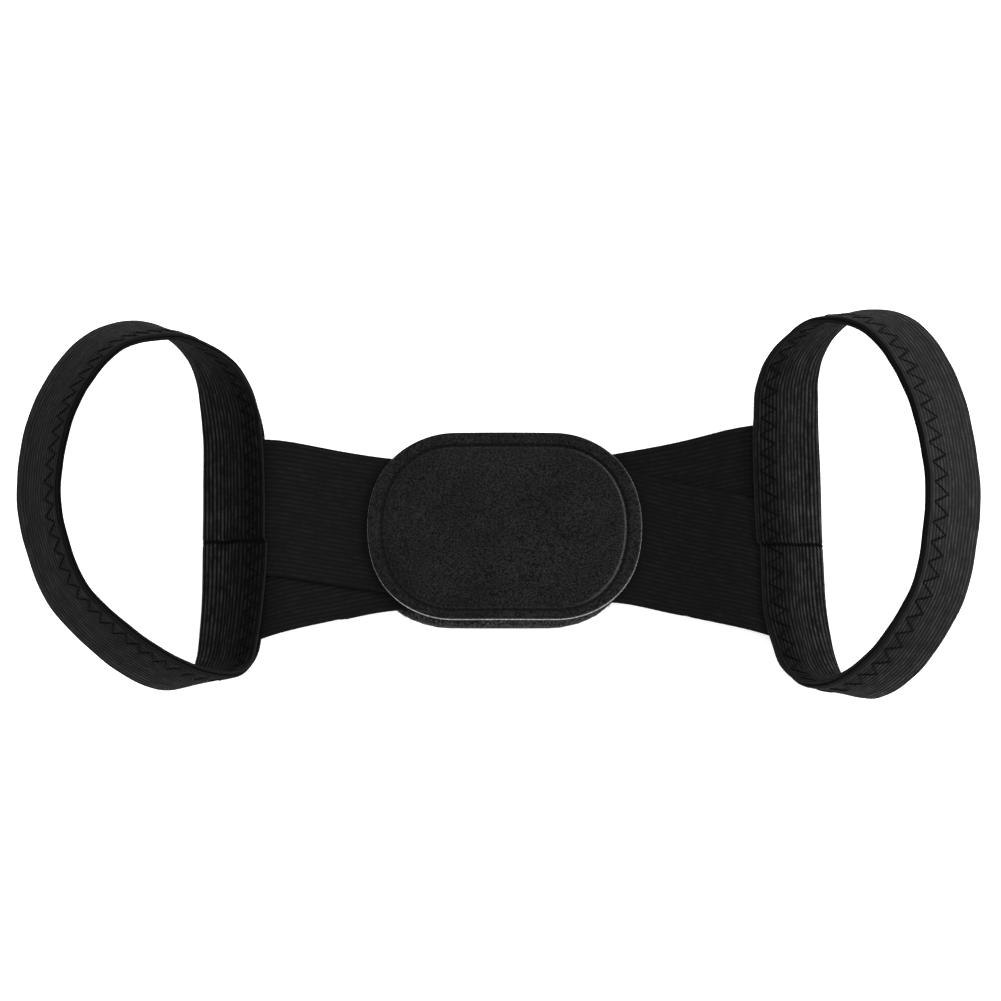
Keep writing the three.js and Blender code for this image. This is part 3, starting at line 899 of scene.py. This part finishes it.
soften = pad_front.modifiers.new("soft", "SUBSURF")
soften.levels = soften.render_levels = 2
apply_all(pad_front)
rows = places(pad_front) / MM
depth = oval_depth(rows[:, 0], rows[:, 1])
dents = np.array([noise.fractal(Vector(p) * DENT_SCALE, 1, 2, 3) for p in rows])
on_top = rows[:, 2] > FRONT_BOTTOM + 1
rows[:, 2] += DENT_HEIGHT * dents * ease((depth - 7) / 6) * on_top
# Painted highlight: light along the crest and the rim's edge, faint on the left, full towards the right.
crest = bell(depth - RIM_WIDTH - CREST_INSIDE, CREST_WIDE)
crest *= CREST_FAINT + (1 - CREST_FAINT) * ease((rows[:, 0] - CREST_STARTS) / 24)
border = BORDER_STRONG * bell(depth, BORDER_WIDE) * ease((rows[:, 0] - BORDER_STARTS) / 25)
move_to(pad_front, to_part(bowed(rows)))
smooth_faces(pad_front, degrees=60)
# Painted shade in the stitched groove, and the painted highlight on the crest and the rim's edge.
note_on(pad_front, "groove_shade", bell(depth - RIM_WIDTH, 0.7))
note_on(pad_front, "painted_light", (crest + border) * on_top)
hand_over(pad_front, "pad_panel", "pad_cover", "pad_front")
print("front pad's top:", round(float(places(pad_front)[:, 2].max()) / MM, 2), "mm")

# %% [markdown]
# The stitches that hold the panel down lie in the groove, each a short leg of thread with a small gap to the
# next.

# %% Sew round the panel
STITCH, STITCH_GAP = 2.5, 0.5
SIDE_SWITCH = 40


def oval_line(inset, spacing):
    """Places evenly spaced along the pad's outline, drawn in by inset."""
    turn = np.linspace(0, 2 * np.pi, 4001)
    x = ((PAD_LENGTH - PAD_STRAIGHT) / 2 - inset) * np.cos(turn)
    x += PAD_STRAIGHT / 2 * np.clip(np.cos(turn) * SIDE_SWITCH, -1, 1)
    y = (PAD_HEIGHT / 2 - inset) * np.sin(turn)
    run = np.concatenate([[0], np.hypot(np.diff(x), np.diff(y)).cumsum()])
    count = round(run[-1] / spacing)
    at = np.arange(count + 1) * run[-1] / count
    return bowed(np.column_stack([np.interp(at, run, x), np.interp(at, run, y)]))


line = oval_line(RIM_WIDTH, STITCH + STITCH_GAP)
groove_floor = FRONT_BOTTOM + RIM_THICK - GROOVE + 0.12
starts = np.column_stack([line[:-1], np.full(len(line) - 1, groove_floor)])
ends = np.column_stack([line[1:], np.full(len(line) - 1, groove_floor)])
share = STITCH / (STITCH + STITCH_GAP)
pad_stitches = stamp_threads(
    "pad_stitches", starts, starts + (ends - starts) * share, np.tile([0.0, 0, 1], (len(starts), 1)),
    thick=0.5, arch=0.08,
)
hand_over(pad_stitches, "pad_stitches", "pad_cover")

# %% [markdown]
# ## The back pad
# Behind the bands lies a thicker oval of foam in a fluffy cover, which closes round the bands. It is soft all
# over, so it is made in the way that suits cushions: a copy of the CAD solid is remeshed into even small
# faces, swollen by a short cloth simulation and softened. It is bowed like the front pad, but it sags a
# little at the bottom and doesn't share the front pad's drift to the right.

# %% Model the back pad
BACK_VOXEL = 1.7
BACK_PUFF_CAP = 0.3
BACK_SAG, BACK_SAG_REACH = 0.6, 40


def paint_light_on_backing(piece):
    """Notes where the backing gets painted light: low down, where the table lights it, and most on the left.
    """
    rows = (places(piece) - PART_MIDDLE) / MM
    note_on(piece, "painted_light", ease((5 - rows[:, 2]) / 4) * (0.3 + 0.7 * ease(-rows[:, 0] / 40)))


start()
pad_back = bpy.data.objects.new("back_pad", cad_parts["pad_back"].data.copy())
bpy.context.collection.objects.link(pad_back)
bpy.context.view_layer.objects.active = pad_back
pad_back.select_set(True)
bpy.ops.object.mode_set(mode="EDIT")
bpy.ops.mesh.select_all(action="SELECT")
bpy.ops.mesh.remove_doubles(threshold=1e-6)
bpy.ops.object.mode_set(mode="OBJECT")
remesh = pad_back.modifiers.new("even faces", "REMESH")
remesh.mode = "VOXEL"
remesh.voxel_size = BACK_VOXEL * MM
relax = pad_back.modifiers.new("relax", "SMOOTH")
relax.factor, relax.iterations = 0.5, 4
apply_all(pad_back)
rows = places(pad_back) / MM
wanted = puff(pad_back, rows[:, 2] < 0.6, 2, BACK_PUFF_CAP)
print(f"the back pad would have moved {wanted:.1f} mm, and is held to {BACK_PUFF_CAP}")
soften = pad_back.modifiers.new("soft", "SUBSURF")
soften.levels = soften.render_levels = 1
apply_all(pad_back)
rows = bowed((places(pad_back) - PART_MIDDLE) / MM)
rows[:, 1] -= BACK_SAG * ease(-rows[:, 1] / BACK_SAG_REACH) * (1 - (rows[:, 0] / (PAD_HALF + 2)) ** 2)
rows[:, 0] -= PAD_DRIFT
rows[:, 2] = np.maximum(rows[:, 2], 0)
move_to(pad_back, to_part(rows))
smooth_faces(pad_back)
paint_light_on_backing(pad_back)
hand_over(pad_back, "back_pad", "pad_backing", "pad_back")

# %% [markdown]
# ## Fluff
# Brushed cloth has loose fibres along its cut edges. A few thousand hairs could come from a hair system, but
# short bent blades of mesh export and render anywhere, so each pad's are made as one mesh, as the thread was.

# %% Scatter short fibres along the pads' edges
def fluff(name, roots, normals, length, thick, seed):
    """Short bent fibres that stand off the roots, as one mesh."""
    chance = np.random.default_rng(seed)
    count = len(roots)
    lean = unit(normals + 0.9 * chance.normal(size=(count, 3)))
    bend = 0.6 * chance.normal(size=(count, 3))
    side = unit(np.cross(lean, bend))
    sizes = length * chance.uniform(0.4, 1.0, size=(count, 1))
    corners = []
    for share, width in ((0, 1), (0.4, 0.85), (0.75, 0.6), (1, 0.15)):
        spine = roots + sizes * (share * lean + share**2 * 0.5 * bend)
        corners += [spine - side * thick * width / 2, spine + side * thick * width / 2]
    faces = [[8 * i + k for k in quad] for i in range(count)
             for quad in ((0, 1, 3, 2), (2, 3, 5, 4), (4, 5, 7, 6))]
    return mesh_piece(name, np.stack(corners, axis=1), faces)


def edge_roots(inset_range, z_range, count, seed, shift=(0, 0), grow=0):
    """Random places round the pad's outline, and which way is out there."""
    chance = np.random.default_rng(seed)
    outline = oval_line(0, 0.5)
    at = chance.integers(0, len(outline) - 1, count)
    run = outline[at + 1] - outline[at]
    outward = unit(np.column_stack([run[:, 1], -run[:, 0]]))
    inset = chance.uniform(*inset_range, size=(count, 1)) - grow
    xy = outline[at] - outward * inset + np.array(shift)
    z = chance.uniform(*z_range, size=count)
    return np.column_stack([xy, z]), np.column_stack([outward, np.full(count, 0.15)])


BACK_SHIFT = (-2.0, -1.1)
fuzz_front = fluff(
    "fuzz_front", *edge_roots((0.0, 1.2), (FRONT_BOTTOM + 0.4, FRONT_BOTTOM + RIM_THICK - 0.2), 1800, 3),
    length=0.8, thick=0.05, seed=4,
)
hand_over(fuzz_front, "fuzz_front", "pad_cover")
fuzz_back = fluff(
    "fuzz_back", *edge_roots((0.0, 0.8), (0.8, FRONT_BOTTOM - 0.9), 3600, 5, BACK_SHIFT, 0.3),
    length=1.3, thick=0.06, seed=6,
)
paint_light_on_backing(fuzz_back)
hand_over(fuzz_back, "fuzz_back", "pad_backing")

# %% [markdown]
# ## Materials
# Shader nodes are easier to read as sums. A small class wraps a socket, so that an expression such as
# 1 - mask adds its own Math node, and one method adds every other kind of node.

# %% The class that writes shader sums
class Wire:
    """A socket of a material on which sums can be written."""

    def __init__(self, paint, socket):
        self.paint, self.socket = paint, socket

    def sum(self, operation, *inputs):
        return self.paint.node("ShaderNodeMath", {"operation": operation}, dict(enumerate(inputs)))

    def __add__(self, other):
        return self.sum("ADD", self, other)

    def __radd__(self, other):
        return self.sum("ADD", other, self)

    def __sub__(self, other):
        return self.sum("SUBTRACT", self, other)

    def __rsub__(self, other):
        return self.sum("SUBTRACT", other, self)

    def __mul__(self, other):
        return self.sum("MULTIPLY", self, other)

    def __rmul__(self, other):
        return self.sum("MULTIPLY", other, self)

    def __truediv__(self, other):
        return self.sum("DIVIDE", self, other)

    def __abs__(self):
        return self.sum("ABSOLUTE", self)

    def cosine(self):
        return self.sum("COSINE", self)

    def floor(self):
        return self.sum("FLOOR", self)

    def zigzag(self, scale):
        return self.sum("PINGPONG", self, scale)


class Paint:
    """A material under construction."""

    def __init__(self, name):
        self.material = bpy.data.materials.new(name)
        self.material.use_nodes = True
        self.tree = self.material.node_tree
        self.surface = self.tree.nodes["Principled BSDF"]

    def node(self, kind, settings=None, inputs=None, output=0):
        """Adds a node: its settings first, then the values or links of its sockets."""
        made = self.tree.nodes.new(kind)
        for key, value in (settings or {}).items():
            setattr(made, key, value)
        for key, value in (inputs or {}).items():
            self.feed(made.inputs[key], value)
        return Wire(self, made.outputs[output])

    def feed(self, socket, value):
        if isinstance(value, Wire):
            self.tree.links.new(value.socket, socket)
        else:
            socket.default_value = value

    def set(self, **inputs):
        """Feeds the surface shader's own sockets."""
        for key, value in inputs.items():
            self.feed(self.surface.inputs[key.replace("_", " ")], value)

    def between(self, value, low, high, to_low=0.0, to_high=1.0):
        """Eases from to_low to to_high as the value goes from low to high."""
        return self.node("ShaderNodeMapRange", {"interpolation_type": "SMOOTHSTEP"}, {
            "Value": value, "From Min": low, "From Max": high, "To Min": to_low, "To Max": to_high,
        })

    def colour(self, share, first, second):
        """Mixes two colours."""
        return self.node("ShaderNodeMix", {"data_type": "RGBA"}, {0: share, 6: first, 7: second}, output=2)

    def clouds(self, vector, scale, detail=2.0, rough=0.5):
        """Soft noise from 0 to 1."""
        return self.node("ShaderNodeTexNoise", {}, {
            "Vector": vector, "Scale": scale, "Detail": detail, "Roughness": rough,
        })

    def noted(self, name):
        """A value that note_on has kept on the piece's corners."""
        return self.node("ShaderNodeAttribute", {"attribute_name": name}, {}, output=2)

    def dents(self, height, strength, distance):
        """Bends the light as a surface of this height would."""
        return self.node("ShaderNodeBump", {}, {"Height": height, "Strength": strength, "Distance": distance})

    def wear(self, piece):
        """Makes this the piece's only material."""
        piece.data.materials.clear()
        piece.data.materials.append(self.material)


def grey(level, warm=0.0):
    """A near-neutral dark shade."""
    return (level * (1 + warm), level, level * (1 - warm), 1)


# %% [markdown]
# ### Ribbed elastic
# Each rib is a column of knitted loops. The ridges are painted lighter, a painted sheen, and the grooves
# between them almost black, painted shade, and the yarn's brightness wanders from place to place. The pattern
# follows the webbing's own UV map, which is in metres. Tone and height are worked out together, so that what
# is dark is also low.

# %% Work out the knit's tone and height
KNIT_PITCH, KNIT_SHIFT = 0.95, 0.47
DASH_ALONG, DASH_APART = 0.22, 1.7
BLOTCH_SCALE, FIBRE_SCALE = 90, 1500


def knit(paint, use, contrast):
    """The knit's tone, height and fibres, and where they are: u along and v across, in millimetres."""
    place = paint.node("ShaderNodeUVMap", {})
    u, v = (paint.node("ShaderNodeSeparateXYZ", {}, {0: place}, output=i) * 1000 for i in (0, 1))
    rib = 0.5 + 0.5 * (v * (2 * math.pi / RIB_PITCH[use])).cosine()
    which = (v / RIB_PITCH[use] + 0.5).floor()
    stitches = 0.5 + 0.5 * ((u + which * KNIT_SHIFT) * (2 * math.pi / KNIT_PITCH)).cosine()
    stretched = paint.node("ShaderNodeVectorMath", {"operation": "MULTIPLY"}, {0: place, 1: (1, 3, 1)})
    blotches = paint.clouds(stretched, BLOTCH_SCALE, 3, 0.6)
    fibres = paint.clouds(stretched, FIBRE_SCALE, 2, 0.7)
    by_rib = paint.node("ShaderNodeCombineXYZ", {}, {0: u * DASH_ALONG, 1: which * DASH_APART})
    dashes = paint.between(paint.clouds(by_rib, 1, 2, 0.6), 0.32, 0.66, 0.45, 1.3)
    # Painted sheen on the ridges and painted shade in the grooves, times the knit's stitches.
    tone = rib * (contrast * rib + (1 - contrast)) * (0.5 + 0.5 * stitches)
    tone = tone * paint.between(blotches, 0.3, 0.7, 0.5, 1.2) * dashes
    tone = tone * paint.between(fibres, 0.3, 0.7, 0.65, 1.3)
    height = rib * 0.6 + rib * stitches * 0.3 + fibres * 0.35
    return tone, height, fibres, u, v


# %% [markdown]
# A loop's webbing is painted darker by the pad and towards its lips, as shade, and its outer strand a pale
# haze of painted light between a fold and lips of painted shade. The zigzag thread sinks into it all along
# its line, with a painted shadow round it, and the seam is dark too. Each of these is a soft mask on the flat
# webbing, and the thread's uses the measures that placed the thread.

# %% Paint light and shade on the sewn loops
ZIGZAG_DENT = (0.35, 1.1)
SEAM_DENT = (0.3, 1.3)


def shade_loop(paint, name, folded, tone, height, u, v):
    """A loop's tone and height: painted shade by the pad, at its fold and lips and round the zigzag, a
    painted pale haze on its outer strand, the sunk zigzag, its seam, and how near the pad each place is.
    """
    length, sewn = LOOPS[name]["run"][-1], ZIGZAG[name]
    from_edge = HALF_FLAT - abs(v)
    by_pad = 0.5 - 0.5 * (u * (2 * math.pi / length)).cosine()
    # Painted light: away from the pad the ribs fade into a pale haze on the outer strand.
    tone = tone * (0.5 + 0.5 * by_pad) + 0.18 * (1 - by_pad)
    # Painted shade on the inner face: darker towards the lips, and by the fold as the table below sets.
    tone = tone * (1 - by_pad * paint.between(from_edge / HALF_FLAT, 0.2, 0.95, 0.72, folded))
    # Painted shade: a dark fold and dark lips on the outer strand.
    fold = paint.between(abs(v), 1.3, 2.3, 1, 0)
    lips = paint.between(from_edge, 0.7, 1.5, 1, 0)
    tone = tone * (1 - (1 - by_pad) * (0.8 * fold + 0.7 * lips))
    leg = (length - 2 * ZIGZAG_START) / zigzag_legs(name)
    wave = (u + (length / 2 - ZIGZAG_START)).zigzag(leg) * ((sewn["far"] - sewn["near"]) / leg)
    # Its tone is a painted shadow round the thread, and its height sinks the cloth along it.
    dent_and_shadow = paint.between(abs(from_edge - sewn["near"] - wave), *ZIGZAG_DENT, 1, 0)
    seam = paint.between(abs(abs(u) - length / 2), *SEAM_DENT, 1, 0)
    tone = tone * (1 - 0.65 * dent_and_shadow) * (1 - 0.85 * seam)
    return tone, height - dent_and_shadow * 0.7, by_pad


# %% [markdown]
# Both kinds of webbing end in the same selvage: a dark line of painted shade, with a pale brim of loose
# fibres outside it, lit by a painted highlight. The bands are painted darker than the loops, as shade, though
# they are the same elastic, and a painted shadow darkens them further by the pad's edge.

# %% Paint the elastic
# How fast the painted shadow beside the pad fades, in millimetres.
PAD_SHADOW_FADE = 2.5
# Painted light: the right loop's ridges are lighter than the left's, as more light falls there; the yarn is
# the same.
RIDGES = {"left": 0.023, "right": 0.036}
# Painted shade on the inner face by the fold; below zero it paints light there instead.
FOLD_LIGHT_AND_SHADE = {"left": -0.2, "right": 0.08}  # how much darker the inner face is by the fold


def elastic(paint, half_width, ridge, groove, tone, height, fibres, v, fluffy):
    """Finishes webbing: its selvages, with a painted dark line and a painted highlight at the very edge, and
    the colours of its ridges and grooves.
    """
    from_edge = half_width - abs(v)
    # Painted shade: a dark line just inside the edge.
    edge = paint.between(from_edge, 0.7, 1.1, 1, 0)
    # Painted highlight on the very edge, broken by its loose fibres.
    brim_highlight = paint.between(from_edge, 0.2, 0.5, 1, 0)
    tone = tone * (1 - 0.7 * edge) + brim_highlight * fluffy * (0.1 + 0.25 * fibres)
    paint.set(
        Base_Color=paint.colour(tone, grey(groove), grey(ridge, -0.02)),
        Roughness=paint.between(tone, 0.2, 1.0, 0.8, 0.6),
        Normal=paint.dents(height, 0.6, 0.00025),
    )
    paint.set(Specular_IOR_Level=0.025, Sheen_Weight=0.008, Sheen_Roughness=0.4)
    print(paint.material.name, "has", len(paint.tree.nodes), "nodes")


band_paint = Paint("elastic_band")
tone, height, fibres, u, v = knit(band_paint, "band", 0)
# Painted shadow: the bands are darkened beside the pad's edge, where the pad shades them.
tone = tone * (1 - 0.9 * band_paint.noted("pad_shadow"))
# Painted shade: the bands get darker ridges and grooves than the loops, though they are the same elastic.
elastic(band_paint, BAND_WIDTH / 2, 0.0058, 0.003, tone, height, fibres, v, 1)
for band in bands.values():
    band_paint.wear(band)
    rows = (places(band) - PART_MIDDLE) / MM
    outside = oval_depth(rows[:, 0] - PAD_DRIFT, rows[:, 1]).clip(-99, 0)
    note_on(band, "pad_shadow", np.exp(outside / PAD_SHADOW_FADE))

for name, piece in arm_loops.items():
    paint = Paint(f"elastic_loop_{name}")
    tone, height, fibres, u, v = knit(paint, "loop", 0.6)
    tone, height, by_pad = shade_loop(paint, name, FOLD_LIGHT_AND_SHADE[name], tone, height, u, v)
    elastic(paint, HALF_FLAT, RIDGES[name], 0.001, tone, height, fibres, v, by_pad)
    paint.wear(piece)

# %% [markdown]
# ### Thread, pad cover and fluffy backing
# The thread is tightly twisted, so it is a little glossier than the cloth. The cover is brushed: a fine
# grain of short fibres, with no weave to see. Its cut edge shows the lighter foam. The backing is the same
# kind of cloth with a longer, greyer pile.

# %% Paint the thread and the pads
def thread_paint(name, dark, light):
    """Twisted thread."""
    paint = Paint(name)
    spot = paint.node("ShaderNodeTexCoord", {}, {}, output=3)
    twist = paint.clouds(spot, 2600, 1)
    paint.set(Base_Color=paint.colour(twist, grey(dark), grey(light)), Normal=paint.dents(twist, 0.4, 0.0001))
    paint.set(Roughness=0.6, Specular_IOR_Level=0.015)
    return paint


def brushed(name, dark, light, grain, strength, groove_shade=0.0, painted_light=0.0):
    """Cloth with a short brushed pile, with painted shade in the groove where it is sewn in and painted light
    where noted.
    """
    paint = Paint(name)
    spot = paint.node("ShaderNodeTexCoord", {}, {}, output=3)
    pile = paint.clouds(spot, grain, 4, 0.65)
    patches = paint.clouds(spot, 55, 2, 0.5)
    tone = paint.between(pile, 0.36, 0.68) * paint.between(patches, 0.25, 0.75, 0.7, 1.15)
    # Painted shade in the groove along the stitch line.
    if groove_shade:
        tone = tone * (1 - groove_shade * paint.noted("groove_shade"))
    shade = paint.colour(tone, grey(dark), grey(light))
    # Painted light: a highlight on the cover's crest and rim's edge, and light from the table on the
    # backing's low edge.
    if painted_light:
        painted_light_share = paint.noted("painted_light") * paint.between(pile, 0.3, 0.65, 0.3, 1.1)
        shade = paint.colour(painted_light_share, shade, grey(painted_light))
    paint.set(
        Base_Color=shade,
        Roughness=paint.between(pile, 0.3, 0.7, 0.95, 0.8),
        Normal=paint.dents(pile, strength, 0.0006),
    )
    paint.set(Specular_IOR_Level=0.03, Sheen_Weight=0.015, Sheen_Roughness=0.5)
    return paint


thread = thread_paint("thread", 0.001, 0.003)
for piece in (*zigzags.values(), *seams.values()):
    thread.wear(piece)
thread_paint("pad_thread", 0.004, 0.012).wear(pad_stitches)

# The cover's last two numbers are its painted groove shade and the grey of its painted highlight.
cover = brushed("pad_cover", 0.0012, 0.0148, 1500, 0.9, 0.9, 0.05)
cover.wear(pad_front)
cover.wear(fuzz_front)
cut_edge = brushed("cut_edge", 0.08, 0.32, 1400, 0.5)
pad_front.data.materials.append(cut_edge.material)
for face in pad_front.data.polygons:
    rise = face.center.z / MM - FRONT_BOTTOM
    if abs(face.normal.z) < 0.7 and RIM_THICK - 1.4 < rise < RIM_THICK - 0.2:
        depth = oval_depth((face.center.x - PART_MIDDLE[0]) / MM, (face.center.y - PART_MIDDLE[1]) / MM)
        face.material_index = int(depth < 1)
# The backing's last number is the grey of its painted light.
backing = brushed("pad_backing", 0.0015, 0.036, 1100, 0.9, 0, 0.11)
backing.wear(pad_back)
backing.wear(fuzz_back)

# %% [markdown]
# ## Floor and light
# The object lies on a plain pale table under soft studio light. A large soft light low on the right shows
# the ribs and brightens the right loop, and a weak one on the left fills in. One overhead lights the level
# cloth, and one in front the upright faces. The world is bright and the table glows a little, so that it
# stays white and hardly any shadow is left.

# %% Set up the floor and the lights
start()
bpy.ops.mesh.primitive_plane_add(size=8, location=(0, 0, 0))
floor = bpy.context.object
floor.name = "floor"
floor_paint = Paint("floor")
floor_paint.set(Base_Color=(0.93, 0.93, 0.93, 1), Roughness=0.9, Specular_IOR_Level=0.1)
floor_paint.set(Emission_Color=(1, 1, 1, 1), Emission_Strength=0.42)
floor_paint.wear(floor)


def soft_light(name, place, size, power):
    """A square lamp that faces the middle of the object."""
    bpy.ops.object.light_add(type="AREA", location=place)
    lamp = bpy.context.object
    lamp.name = name
    lamp.rotation_euler = (-Vector(place)).to_track_quat("-Z", "Y").to_euler()
    lamp.data.size = size
    lamp.data.energy = power


soft_light("key", (1.9, 0.5, 0.9), 1.5, 60)
soft_light("fill", (-1.8, 0.5, 1.1), 1.4, 3)
soft_light("top", (0, -0.3, 2.4), 2.0, 12)
soft_light("front", (0, -1.9, 0.7), 1.8, 16)
world = bpy.context.scene.world or bpy.data.worlds.new("World")
bpy.context.scene.world = world
world.use_nodes = True
world.node_tree.nodes["Background"].inputs["Color"].default_value = (1, 1, 1, 1)
world.node_tree.nodes["Background"].inputs["Strength"].default_value = 1.3
bpy.context.scene.view_settings.view_transform = "Standard"
